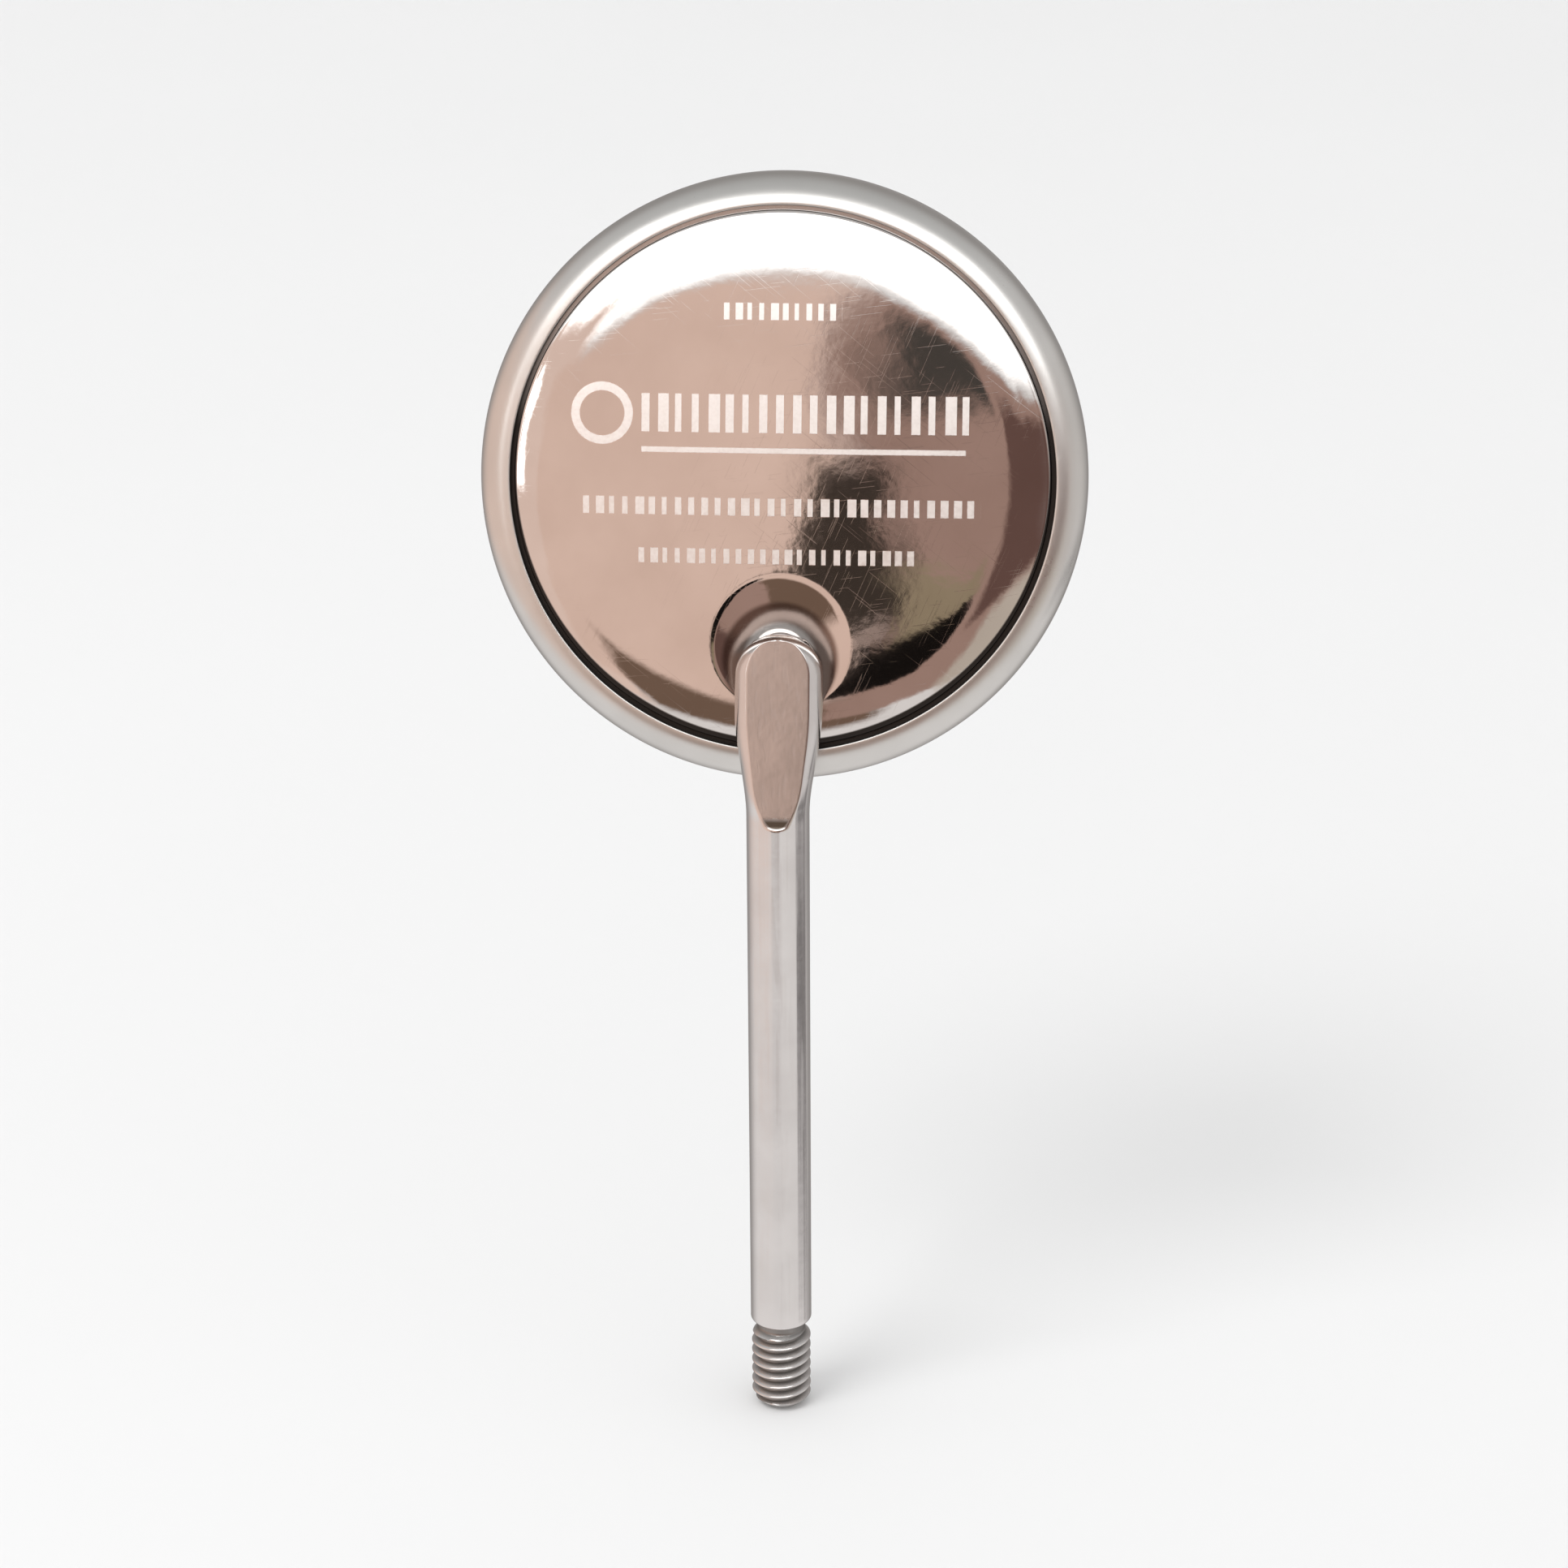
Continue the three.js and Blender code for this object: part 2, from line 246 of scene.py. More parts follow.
def rim_outline():
    """The rolled ring: front lip, corner, side wall, rounded shoulder and rear edge."""
    corner = (RIM_RADIUS - FRONT_CORNER, FRONT_CORNER)
    wide, high = RIM_RADIUS - SEAM_RADIUS, SEAM_DEPTH - WALL_TOP
    lip_start = WINDOW_RADIUS + LIP_ROUND
    lip = [(r, 0.0) for r in np.linspace(lip_start, corner[0], 7)]
    lip = arc((lip_start, LIP_ROUND), (LIP_ROUND, LIP_ROUND), 180, 270, 5)[:-1] + lip
    outside = arc(corner, (FRONT_CORNER, FRONT_CORNER), -90, 0, 14)
    wall = [(RIM_RADIUS, w) for w in np.linspace(FRONT_CORNER, WALL_TOP, 7)[1:-1]]
    shoulder = arc((SEAM_RADIUS, WALL_TOP), (wide, high), 0, 86, 36)
    edge_centre = (SEAM_RADIUS + REAR_EDGE_ROUND, SEAM_DEPTH - REAR_EDGE_ROUND - 0.005)
    rear_edge = arc(edge_centre, (REAR_EDGE_ROUND, REAR_EDGE_ROUND), 90, 180, 6)
    inside = arc((SEAM_RADIUS, WALL_TOP), (wide - SHEET, high - SHEET), 88, 0, 20)
    back = [(RIM_RADIUS - SHEET, SHEET), (WINDOW_RADIUS, SHEET)]
    return lip + outside[1:] + wall + shoulder + rear_edge + inside + back


def dome_profile():
    """Radii and depths of the dome's outer face, whose curvature grows smoothly near the edge."""
    radii = np.linspace(0, SEAM_RADIUS, 2000)
    centre, edge = 1 / DOME_CENTRE_CURVE, 1 / DOME_EDGE_CURVE
    blend = [smoothstep(r, DOME_BLEND - DOME_BLEND_SPREAD, DOME_BLEND + DOME_BLEND_SPREAD) for r in radii]
    step = radii[1]
    sine = np.cumsum(centre + (edge - centre) * np.array(blend)) * step
    return radii, DOME_CROWN - np.cumsum(sine / np.sqrt(1 - sine**2)) * step


def dome_depth(r, drop=0.0):
    """Depth of the cup's outer face, lowered by drop."""
    return float(np.interp(r, DOME_RADII, DOME_DEPTHS)) - drop


DOME_RADII, DOME_DEPTHS = dome_profile()


def cup_edge_outline():
    """Rounded edge of the dome, shoulder under the ring's rolled edge, skirt and ledge inside."""
    wide = RIM_RADIUS - SEAM_RADIUS - SHEET - FIT_GAP
    high = SEAM_DEPTH - WALL_TOP - SHEET - FIT_GAP
    skirt = math.degrees(math.acos((SKIRT_RADIUS - SEAM_RADIUS) / wide))
    round_start = DOME_EDGE - DOME_EDGE_ROUND
    round_centre = (round_start, dome_depth(round_start) - DOME_EDGE_ROUND)
    step = arc(round_centre, (DOME_EDGE_ROUND, DOME_EDGE_ROUND), 64, 0, 7)
    ledge = [(DOME_EDGE + FIT_GAP / 2, WALL_TOP + high), (SEAM_RADIUS - 2 * FIT_GAP, WALL_TOP + high)]
    shoulder = arc((SEAM_RADIUS, WALL_TOP), (wide, high), 90, skirt, 10)
    skirt_inside = SKIRT_RADIUS - SHEET + FIT_GAP
    wall = [(SKIRT_RADIUS, SKIRT_END), (skirt_inside, SKIRT_END), (skirt_inside, LEDGE_INSIDE)]
    return step + ledge + shoulder + wall + [(DOME_EDGE - SHEET, LEDGE_INSIDE)]


def seat_rings(outer_radius, mouth_rings, dome_rings):
    """(centre, radius) of rings that start around the stem's seat and end around the whole dome."""
    mouth = SEAT_MOUTH_RADIUS + 0.2
    rings = [(SEAT_CENTRE, r) for r in np.linspace(0, mouth, mouth_rings)]
    for share in np.linspace(0, 1, dome_rings)[1:]:
        rings.append((SEAT_CENTRE * (1 - share), mouth + (outer_radius - mouth) * share))
    return rings


def back_cup():
    """The polished dome with the stem's seat pressed into it as a shallow round recess."""
    angles = np.linspace(0, 2 * math.pi, HEAD_SEGMENTS, endpoint=False)

    def face(rings, drop):
        verts = []
        for centre, radius in rings:
            for a in angles:
                x, u = radius * math.cos(a), centre + radius * math.sin(a)
                away = math.hypot(x, u - SEAT_CENTRE)
                seat = SEAT_FLOOR - drop + SEAT_SLOPE * max(away - SEAT_FLOOR_RADIUS, 0.0)
                dome = dome_depth(math.hypot(x, u), drop)
                verts.append(head_point(x, u, soft_min(dome, seat, SEAT_EDGE_ROUND)))
        return verts

    verts = face(seat_rings(DOME_EDGE - DOME_EDGE_ROUND, 56, 130), 0.0)
    for r, w in cup_edge_outline():
        verts += [head_point(r * math.cos(a), r * math.sin(a), w) for a in angles]
    verts += face(reversed(seat_rings(DOME_EDGE - SHEET, 24, 50)), SHEET)
    faces = ring_faces(len(verts) // HEAD_SEGMENTS, HEAD_SEGMENTS)
    piece = make_piece("back_cup_shell", verts, faces, 50)
    clean(piece)
    return piece


def disc_outline(radius, front, back, rounding):
    """A disc between two depths, with its two edges rounded."""
    return rounded([(0, front, 0), (radius, front, rounding), (radius, back, rounding), (0, back, 0)], 4)


def seal_outline():
    inner, outer = GLASS_RADIUS + FIT_GAP, RIM_RADIUS - SHEET - 2 * FIT_GAP
    front = [(inner, COATING_FRONT, 0.03), (outer, COATING_FRONT, 0.03)]
    back = [(outer, GLASS_BACK, 0.06), (inner, GLASS_BACK, 0.06)]
    return rounded(front + back, 3)


# ---------------------------------------------------------------- stem

BEND_TANGENT = BEND_RADIUS * math.tan(TILT / 2)
BEND_START = BEND_HEIGHT - BEND_TANGENT
BEND_END = BEND_START + BEND_RADIUS * TILT
STEM_END = BEND_END + BEND_BELOW_HEAD - BEND_TANGENT + FLAT_END
STAMPED_RUN_IN = 1.5  # length of round bar below the stamped end that gets fine rings too
LEAST_HALF_ANGLE = 0.35
FLAT_EDGE_ROUND = 0.04


def stem_axis(distance):
    """Lean, y and z of the stem's axis at a distance along it from the end face."""
    lean = min(max((distance - BEND_START) / BEND_RADIUS, 0.0), TILT)
    beyond = max(distance - BEND_END, 0.0)
    y = BEND_RADIUS * (1 - math.cos(lean)) + beyond * math.sin(lean)
    z = min(distance, BEND_START) + BEND_RADIUS * math.sin(lean) + beyond * math.cos(lean)
    return lean, y, z


def flat_offsets(lean, y, z):
    """How far the back facet and the seat side's flat lie from the axis, along the section's thickness."""
    local = Vector((0, y, z)) - HEAD_CENTRE / MM
    depth, from_end = local.dot(HEAD_BACK), FLAT_END - local.dot(HEAD_UP)
    facet = FLAT_AXIS_DEPTH + FLAT_BACK + FACET_RAMP_SLOPE * max(from_end - FACET_CUT, 0.0)
    seat = FLAT_AXIS_DEPTH - FLAT_FRONT - SEAT_RAMP_SLOPE * max(from_end - SEAT_CUT, 0.0)
    slant = math.cos(TILT - lean)
    return (depth - seat) / slant, (facet - depth) / slant


def flat_half_angle(offset, half_thick):
    """Half the angle that a flat takes out of a section, and a little when it misses."""
    share = offset / max(half_thick, 1e-6)
    return max(math.acos(min(max(share, 0.0), 1.0)), LEAST_HALF_ANGLE)


def column_angles(seat_half, facet_half):
    """Angles around the stem from 0 to a full turn, crowded at the corners of its two flats."""
    quarter = math.pi / 2
    corners = [0, quarter - seat_half, quarter + seat_half, 3 * quarter - facet_half,
               3 * quarter + facet_half, 4 * quarter]
    angles = [0.0]
    for start, end, count in zip(corners, corners[1:], (32, 40, 64, 40, 32)):
        for k in range(1, count + 1):
            angles.append(start + (end - start) * (1 - math.cos(math.pi * k / count)) / 2)
    return angles


def stem_ring(distance, half_width, half_thick):
    """A section of the stem across its axis: an ellipse, cut by the two flats near the head."""
    lean, y, z = stem_axis(distance)
    near_head = distance > STEM_END - FLAT_WIDENS - STAMPED_RUN_IN
    seat, facet = flat_offsets(lean, y, z) if near_head else (2 * STEM_RADIUS, 2 * STEM_RADIUS)
    ring = []
    for a in column_angles(flat_half_angle(seat, half_thick), flat_half_angle(facet, half_thick)):
        across = soft_min(half_thick * math.sin(a), seat, FLAT_EDGE_ROUND)
        across = soft_max(across, -facet, FLAT_EDGE_ROUND)
        ring.append(
            Vector((half_width * math.cos(a), y + across * math.cos(lean), z - across * math.sin(lean)))
        )
    return ring


def thread_profile():
    """One turn of the thread as (share of the pitch, radius), with rounded crest and root."""
    depth = THREAD_MAJOR_RADIUS - THREAD_MINOR_RADIUS
    flat_root, flank = 1 / 4, 5 / 16
    shares = np.linspace(0, 1, 12, endpoint=False)
    rows = []
    for share in shares:
        if share < flat_root:
            height = 0.0
        elif share < flat_root + flank:
            height = (share - flat_root) / flank
        elif share < 1 - flank:
            height = 1.0
        else:
            height = (1 - share) / flank
        rows.append((share, THREAD_MINOR_RADIUS + depth * smoothstep(height, -0.12, 1.12)))
    return rows


def thread_rings():
    """Rings that climb one pitch per turn, cut off by the chamfers at both ends of the thread."""
    angles = column_angles(LEAST_HALF_ANGLE, LEAST_HALF_ANGLE)
    turns = math.ceil(THREAD_LENGTH / PITCH) + 1
    rings = []
    for turn in range(turns):
        for share, radius in thread_profile():
            start = (turn - 1 + share) * PITCH
            ring = []
            for a in angles:
                z = min(max(start + PITCH * a / (2 * math.pi), 0.0), THREAD_LENGTH)
                chamfer = min(TIP_RADIUS + z, GROOVE_RADIUS + THREAD_LENGTH - z)
                r = min(radius, chamfer)
                ring.append(Vector((r * math.cos(a), r * math.sin(a), z)))
            rings.append(ring)
    return rings


def stem():
    """Thread tip, thread, undercut, shoulder, round bar, bend and stamped end as one skin of rings."""
    rings = [stem_ring(0, r, r) for r in (0.0, 0.45, 0.86)]
    rings += thread_rings()
    for z in np.linspace(THREAD_LENGTH, SHOULDER_HEIGHT, 5)[1:]:
        rings.append(stem_ring(z, GROOVE_RADIUS, GROOVE_RADIUS))
    round_centre = (STEM_RADIUS - SHOULDER_ROUND, SHOULDER_HEIGHT + SHOULDER_ROUND)
    for r, z in arc(round_centre, (SHOULDER_ROUND, SHOULDER_ROUND), -90, 0, 8):
        rings.append(stem_ring(z, r, r))
    widens = STEM_END - FLAT_WIDENS
    for distance in np.linspace(SHOULDER_HEIGHT + 2 * SHOULDER_ROUND, widens - STAMPED_RUN_IN, 24):
        rings.append(stem_ring(distance, STEM_RADIUS, STEM_RADIUS))
    for distance in np.linspace(widens - STAMPED_RUN_IN + 0.05, STEM_END - END_ROUND_WIDE, 170):
        share = smoothstep(distance, widens, STEM_END - FLAT_FULL)
        half_width = STEM_RADIUS + (FLAT_HALF_WIDTH - STEM_RADIUS) * share
        rings.append(stem_ring(distance, half_width, STEM_RADIUS))
    for turn in np.linspace(0, math.pi / 2, 41)[1:]:
        left = END_ROUND_WIDE * (1 - math.sin(turn))
        thin = max(1 - left / END_ROUND_THICK, 0.0)
        half_width = FLAT_HALF_WIDTH * math.cos(turn)
        half_thick = STEM_RADIUS * math.sqrt(1 - thin * thin)
        rings.append(stem_ring(STEM_END - left, half_width, half_thick))
    columns = len(rings[0])
    verts = [p * MM for ring in rings for p in ring]
    faces = []
    for i in range(len(rings) - 1):
        for j in range(columns - 1):
            a, b = i * columns + j, (i + 1) * columns + j
            faces.append((a, a + 1, b + 1, b))
    piece = make_piece("stem_bar", verts, faces, 50)
    clean(piece)
    return piece


# ---------------------------------------------------------------- materials

class Nodes:
    """A short way to write a node tree."""

    def __init__(self, tree):
        self.tree = tree

    def add(self, kind, inputs=None, **settings):
        node = self.tree.nodes.new("ShaderNode" + kind)
        for key, value in settings.items():
            setattr(node, key, value)
        for key, value in (inputs or {}).items():
            self.feed(node.inputs[key], value)
        return node

    def feed(self, socket, value):
        """Links an output into a socket, or sets the socket's own value."""
        if isinstance(value, bpy.types.NodeSocket):
            self.tree.links.new(value, socket)
        else:
            socket.default_value = value

    def math(self, operation, a, b=0.0, c=0.0):
        return self.add("Math", {0: a, 1: b, 2: c}, operation=operation).outputs[0]

    def spread(self, value, from_low, from_high, low, high, smooth=False):
        """Maps a range of values to another one, and clamps to it."""
        inputs = {"Value": value, "From Min": from_low, "From Max": from_high}
        inputs.update({"To Min": low, "To Max": high})
        kind = "SMOOTHSTEP" if smooth else "LINEAR"
        return self.add("MapRange", inputs, interpolation_type=kind).outputs[0]

    def within(self, value, low, high, soft):
        """1 between low and high and 0 outside, over a soft edge."""
        away = self.math("ABSOLUTE", self.math("SUBTRACT", value, (low + high) / 2))
        half = (high - low) / 2
        return self.spread(away, half - soft / 2, half + soft / 2, 1.0, 0.0, smooth=True)

    def mix(self, fac, a, b):
        node = self.add("Mix", data_type="RGBA")
        for socket, value in zip((node.inputs[0], node.inputs[6], node.inputs[7]), (fac, a, b)):
            self.feed(socket, (*value, 1) if isinstance(value, tuple) else value)
        return node.outputs[2]


class Finish(Nodes):
    """A material around the Principled shader."""

    def __init__(self, name):
        self.material = bpy.data.materials.new(name)
        self.material.use_nodes = True
        super().__init__(self.material.node_tree)
        self.shader = self.tree.nodes["Principled BSDF"]

    def drive(self, name, value):
        self.feed(self.shader.inputs[name], value)

    def driven(self, name):
        return self.shader.inputs[name].links[0].from_socket

    def noise(self, scale, detail=2.0, stretch=(1, 1, 1), turn=0.0):
        """Noise with a scale in features per millimetre, drawn out by stretch after a turn about Y."""
        coords = self.add("TexCoord").outputs["Object"]
        inputs = {"Vector": coords, "Scale": Vector(stretch) * MM, "Rotation": (0, math.radians(turn), 0)}
        place = self.add("Mapping", inputs, vector_type="TEXTURE").outputs[0]
        return self.add("TexNoise", {"Vector": place, "Scale": scale, "Detail": detail}).outputs["Fac"]

    def head_place(self):
        """x, u and w of the head's own frame, in millimetres."""
        coords = self.add("TexCoord").outputs["Object"]
        from_centre = self.add("VectorMath", {0: coords, 1: HEAD_CENTRE}, operation="SUBTRACT").outputs[0]
        places = []
        for direction in (Vector((1, 0, 0)), HEAD_UP, HEAD_BACK):
            dot = self.add("VectorMath", {0: from_centre, 1: direction}, operation="DOT_PRODUCT")
            places.append(self.math("DIVIDE", dot.outputs["Value"], MM))
        return places

    def length(self, a, b):
        return self.math("SQRT", self.math("MULTIPLY_ADD", a, a, self.math("MULTIPLY", b, b)))

    def darken(self, mask, colour, roughness):
        """Covers the finish with a darker colour and more roughness where the mask is 1; it paints shade
        into the recess, the seam and the facet's corner, and darkens the thread's root.
        """
        self.drive("Base Color", self.mix(mask, self.driven("Base Color"), colour))
        rough = self.spread(mask, 0.0, 1.0, 0.0, roughness)
        self.drive("Roughness", self.math("ADD", self.driven("Roughness"), rough))

    def bump(self, height, distance_mm, normal=None):
        inputs = {"Height": height, "Distance": distance_mm * MM}
        if normal:
            inputs["Normal"] = normal
        return self.add("Bump", inputs).outputs[0]


def steel(name, colour, tarnish, smooth, rough, scratches):
    """Stainless steel: cloudy colour and gloss, orange peel and fine scratches.

    Each set of scratches has a scale, a stretch, a turn in degrees and the share of the face it covers.
    """
    f = Finish(name)
    f.drive("Metallic", 1.0)
    cloud = f.noise(0.35, 3.0)
    fine = f.noise(5.0, 2.0)
    f.drive("Base Color", f.mix(f.spread(cloud, 0.35, 0.75, 0.0, 1.0), colour, tarnish))
    lines = 0.0
    for scale, stretch, turn, share in scratches:
        line = f.noise(scale, 0.0, stretch, turn)
        lines = f.math("ADD", f.spread(line, 1 - share, 1.02 - share, 0.0, 0.5), lines)
    gloss = f.spread(f.math("MULTIPLY_ADD", fine, 0.4, cloud), 0.45, 0.95, smooth, rough)
    f.drive("Roughness", f.math("MULTIPLY_ADD", lines, 0.08, gloss))
    peel = f.bump(f.noise(1.1, 2.0), 0.003)
    f.drive("Normal", f.bump(lines, -0.0003, f.bump(fine, 0.0005, peel)))
    return f


def polished_steel():
    """The bright back of the cup: frosted index marks, painted shade in a brown ring around the weld and a
    seam darkened with painted shade at its edge.
    """
    scratches = [
        (1.5, (0.05, 1, 4), 24, 0.24),
        (1.2, (0.05, 1, 5), -52, 0.22),
        (1.7, (0.06, 1, 3), 83, 0.23),
    ]
    f = steel("polished_steel", (0.66, 0.63, 0.61), (0.61, 0.575, 0.55), 0.025, 0.06, scratches)
    x, u, w = f.head_place()
    outside = f.math("GREATER_THAN", w, LEDGE_INSIDE + SHEET)
    frost = f.math("MULTIPLY", index_marks(f, x, u), outside)
    frost = f.math("MULTIPLY", frost, f.spread(f.noise(9.0, 1.0), 0.3, 0.6, 0.75, 0.95))
    f.drive("Base Color", f.mix(frost, f.driven("Base Color"), (0.84, 0.82, 0.80)))
    f.drive("Roughness", f.math("MULTIPLY_ADD", frost, 0.42, f.driven("Roughness")))
    # Painted shade: a dark brown ring in the recess around the weld.
    from_weld = f.length(x, f.math("SUBTRACT", u, SEAT_CENTRE))
    tint = f.math("MULTIPLY", f.within(from_weld, *RECESS_SHADE_RING, RECESS_SHADE_SOFTNESS), RECESS_SHADE_SHARE)
    f.darken(f.math("MULTIPLY", tint, outside), RECESS_SHADE, 0.12)
    # Painted shade in the seam at the dome's edge, wider towards the bottom and fading towards the top.
    reach = f.math("ADD", f.length(x, u), f.spread(u, -9.0, 3.0, 0.22, 0.0))
    seam = f.spread(reach, DOME_EDGE - 0.06, DOME_EDGE, 0.0, 1.0)
    f.darken(f.math("MULTIPLY", seam, f.spread(u, 2.0, 8.0, 1.0, SEAM_SHADE_TOP)), SEAM_SHADE, 0.4)
    return f.material


# Painted shade: a dark brown ring in the recess around the weld, which dims the recess's reflection
RECESS_SHADE = (0.12, 0.07, 0.05)
RECESS_SHADE_RING = (1.42, SEAT_MOUTH_RADIUS - 0.32)
RECESS_SHADE_SOFTNESS = 0.26
RECESS_SHADE_SHARE = 0.82

# Painted shade for the seam between the dome and the ring, nearly black
SEAM_SHADE = (0.035, 0.03, 0.027)
SEAM_SHADE_TOP = 0.35  # share of the painted seam shade left at the top of the head

# Plain etched lines on the back: left, right, bottom and top edge, and the pitch of the marks in it
MARK_LINES = [
    (-2.3, 2.3, 6.3, 6.95, 0.46),
    (-5.5, 7.6, 1.9, 3.4, 0.66),
    (-5.5, 7.2, 1.1, 1.32, 40.0),
    (-7.8, 7.8, -1.35, -0.65, 0.52),
    (-5.6, 5.4, -3.25, -2.65, 0.48),
]
MARK_RING_CENTRE = (-7.05, 2.6)
MARK_RING_RADIUS = 1.05
MARK_STROKE = 0.34
MARK_SOFTNESS = 0.06
MARK_LEAST_SHARE, MARK_MOST_SHARE = 0.34, 0.68  # of the pitch that a bar is wide


def index_marks(f, x, u):
    """Mask of a plain ring and rows of plain bars with uneven widths: no letters, no figures."""
    right, up = (f.math("SUBTRACT", place, middle) for place, middle in zip((x, u), MARK_RING_CENTRE))
    inner, outer = MARK_RING_RADIUS - MARK_STROKE / 2, MARK_RING_RADIUS + MARK_STROKE / 2
    mask = f.within(f.length(right, up), inner, outer, MARK_SOFTNESS)
    for left, end, low, high, pitch in MARK_LINES:
        cells = f.math("DIVIDE", f.math("SUBTRACT", x, left), pitch)
        chance = f.add("TexWhiteNoise", {"W": f.math("FLOOR", cells)}, noise_dimensions="1D")
        narrowing = MARK_LEAST_SHARE - MARK_MOST_SHARE
        width = f.math("MULTIPLY_ADD", chance.outputs["Value"], narrowing, MARK_MOST_SHARE)
        bars = f.math("LESS_THAN", f.math("FRACT", cells), width)
        across = f.within(x, left, end, MARK_SOFTNESS)
        row = f.math("MULTIPLY", across, f.within(u, low, high, MARK_SOFTNESS))
        mask = f.math("MULTIPLY_ADD", row, bars, mask)
    return mask


def satin_steel():
    """The rolled ring, with painted shade where it dips into the seam."""
    scratches = [(1.6, (0.3, 0.3, 2), 30, 0.22)]
    f = steel("satin_steel", (0.64, 0.63, 0.61), (0.59, 0.58, 0.56), 0.27, 0.34, scratches)
    x, u, w = f.head_place()
    # Painted shade where the ring dips into the seam, fading towards the top.
    in_seam = f.spread(f.length(x, u), SEAM_RADIUS + 0.01, SEAM_RADIUS + 0.05, 1.0, 0.0)
    in_seam = f.math("MULTIPLY", in_seam, f.math("GREATER_THAN", w, WALL_TOP))
    f.darken(f.math("MULTIPLY", in_seam, f.spread(u, 2.0, 8.0, 1.0, SEAM_SHADE_TOP)), SEAM_SHADE, 0.3)
    return f.material


def stem_steel():
    """Drawn wire with fine lines along it, a darker thread root, and painted shade in the facet's lower
    corner.
    """
    scratches = [(6.0, (1, 1, 30), 0, 0.36), (3.0, (1, 1, 18), 0, 0.30)]
    f = steel("stem_steel", (0.68, 0.66, 0.65), (0.61, 0.59, 0.58), 0.12, 0.19, scratches)
    coords = f.add("TexCoord").outputs["Object"]
    x, y, z = (f.math("DIVIDE", place, MM) for place in f.add("SeparateXYZ", {0: coords}).outputs)
    from_axis = f.length(x, y)
    # Darker, rougher colour in the thread's root.
    root = f.spread(from_axis, THREAD_MINOR_RADIUS + 0.03, THREAD_MAJOR_RADIUS - 0.08, 0.8, 0.0)
    f.darken(f.math("MULTIPLY", root, f.math("LESS_THAN", z, SHOULDER_HEIGHT)), (0.15, 0.143, 0.135), 0.25)
    inside = f.spread(from_axis, STEM_RADIUS - 0.06, STEM_RADIUS - 0.01, 0.95, 0.0)
    # Painted shade on the ramp at the facet's lower end, over the highlight of its concave corner.
    corner = FLAT_END - FACET_CUT
    ramp_shade = f.within(f.head_place()[1], corner - 0.7, corner + 0.04, 0.30)
    f.darken(f.math("MULTIPLY", inside, ramp_shade), (0.07, 0.048, 0.03), 0.3)
    return f.material


def mirror_silver():
    """Front-surface mirror with a trace of wiping marks and dust."""
    f = Finish("mirror_silver")
    f.drive("Metallic", 1.0)
    f.drive("Base Color", f.mix(f.noise(0.25, 3.0), (0.93, 0.93, 0.93), (0.90, 0.91, 0.91)))
    wipe = f.spread(f.noise(0.8, 3.0, (1.0, 0.25, 0.25)), 0.45, 0.8, 0.008, 0.04)
    dust = f.spread(f.noise(5.0, 0.0), 0.78, 0.82, 0.0, 0.25)
    f.drive("Roughness", f.math("ADD", wipe, dust))
    return f.material


def cloudy(name, colour, other, smooth, rough, grain, relief_mm):
    """Cloudy colour, roughness and fine relief, for the parts inside the head."""
    f = Finish(name)
    fine = f.noise(grain, 3.0)
    f.drive("Base Color", f.mix(f.noise(0.8, 3.0), colour, other))
    f.drive("Roughness", f.spread(fine, 0.3, 0.7, smooth, rough))
    f.drive("Normal", f.bump(fine, relief_mm))
    return f


def clear_glass():
    """Faintly green mirror glass."""
    f = cloudy("clear_glass", (0.80, 0.90, 0.87), (0.76, 0.88, 0.84), 0.01, 0.04, 0.6, 0.0003)
    f.drive("Transmission Weight", 1.0)
    f.drive("IOR", 1.52)
    return f.material


def dark_sealant():
    return cloudy("dark_sealant", (0.03, 0.03, 0.032), (0.05, 0.05, 0.052), 0.5, 0.75, 3.0, 0.01).material


def bedding_cement():
    return cloudy("bedding_cement", (0.72, 0.66, 0.55), (0.62, 0.57, 0.47), 0.7, 0.9, 3.0, 0.02).material


def weld_metal():
    """Fused steel with a straw to violet heat tint."""
    f = cloudy("weld_metal", (0.55, 0.48, 0.40), (0.33, 0.29, 0.34), 0.25, 0.5, 5.0, 0.01)
    f.drive("Metallic", 1.0)
    return f.material


# ---------------------------------------------------------------- assembly

def fit(piece, material, node):
    """Hands a finished piece over: its material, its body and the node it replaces."""
    piece.data.materials.append(material)
    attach(piece, "root")
    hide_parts(node)


fit(lathe("rim_ring_rolled", rim_outline()), satin_steel(), "rim_ring")
fit(back_cup(), polished_steel(), "back_cup")
fit(stem(), stem_steel(), "stem")
coating = disc_outline(GLASS_RADIUS, COATING_FRONT, COATING_BACK, 0.01)
fit(lathe("mirror_face", coating), mirror_silver(), "mirror_coating")
glass = disc_outline(GLASS_RADIUS, GLASS_FRONT, GLASS_BACK, 0.12)
fit(lathe("mirror_glass", glass), clear_glass(), "glass_disc")
fit(lathe("rim_seal", seal_outline()), dark_sealant(), "edge_seal")
bedding = disc_outline(BEDDING_RADIUS, BEDDING_FRONT, BEDDING_BACK, 0.08)
fit(lathe("glass_bed", bedding), bedding_cement(), "glass_bedding")
weld = disc_outline(WELD_RADIUS, WELD_FRONT, WELD_BACK, 0.07)
fit(lathe("weld_spot", weld, centre_u=SEAT_CENTRE, segments=96), weld_metal(), "weld_joint")


# ---------------------------------------------------------------- floor, light and camera

